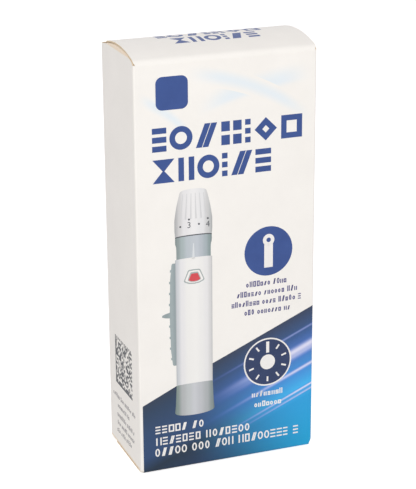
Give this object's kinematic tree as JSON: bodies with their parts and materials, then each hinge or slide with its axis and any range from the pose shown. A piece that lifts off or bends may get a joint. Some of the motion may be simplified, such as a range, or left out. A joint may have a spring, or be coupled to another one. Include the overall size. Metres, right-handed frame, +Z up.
{
  "type": "folding carton with lancing device",
  "caption": "Upright tuck-end folding carton with bowed top lid, holding a pen-shaped lancing device and its folded instruction leaflet.",
  "frame": {"origin": "centre of the footprint on the table, at the bottom lid's outer face", "axes": "+Z up, +X across the front panel to its right as seen from the front, the printed front panel faces -Y"},
  "size_m": [0.0624, 0.0324, 0.1437],
  "materials": {
    "coated_board": "coated white outside, printed, tan raw edges",
    "leaflet_paper": "uncoated",
    "white_plastic": "satin",
    "grey_plastic": "satin",
    "slider_plastic": "matt",
    "red_plastic": "satin",
    "clear_white_plastic": "natural",
    "spring_steel": "drawn wire"
  },
  "bodies": {
    "carton": {"carton": "coated_board", "instruction_leaflet": "leaflet_paper", "pen_end_cap": "grey_plastic", "pen_front_shell": "white_plastic", "pen_rear_shell": "white_plastic", "pen_grip_collar": "grey_plastic", "pen_button_bezel": "grey_plastic", "pen_drive_spring": "spring_steel", "pen_return_spring": "spring_steel"},
    "top_lid": {"top_lid": "coated_board"},
    "bottom_lid": {"bottom_lid": "coated_board"},
    "depth_cap": {"pen_depth_cap": "white_plastic"},
    "slider": {"pen_slider": "slider_plastic"},
    "release_button": {"pen_release_button": "red_plastic"},
    "plunger": {"pen_plunger": "clear_white_plastic"}
  },
  "joints": [
    {"name": "top_lid_hinge", "type": "hinge", "parent": "carton", "child": "top_lid", "pos_m": [0, -0.01585, 0.1408], "axis": [1, 0, 0], "range_deg": [0, 180]},
    {"name": "bottom_lid_hinge", "type": "hinge", "parent": "carton", "child": "bottom_lid", "pos_m": [0, -0.01599, 0.00026], "axis": [-1, 0, 0], "range_deg": [0, 180]},
    {"name": "depth_setting", "type": "hinge", "parent": "carton", "child": "depth_cap", "pos_m": [0, -0.00036, 0.09], "axis": [0, 0, 1], "range_deg": [-132, 165]},
    {"name": "cocking_slide", "type": "slide", "parent": "carton", "child": "slider", "axis": [0, 0, -1], "range_m": [0, 0.008], "stiffness_N_per_m": 500},
    {"name": "plunger_slide", "type": "slide", "parent": "carton", "child": "plunger", "axis": [0, 0, -1], "range_m": [0, 0.008], "deforming": ["pen_drive_spring", "pen_return_spring"]},
    {"name": "release_press", "type": "slide", "parent": "carton", "child": "release_button", "axis": [0, 1, 0], "range_m": [0, 0.001], "stiffness_N_per_m": 800}
  ],
  "couplings": [
    {"joint": "plunger_slide", "follows": "cocking_slide", "ratio": 1}
  ]
}
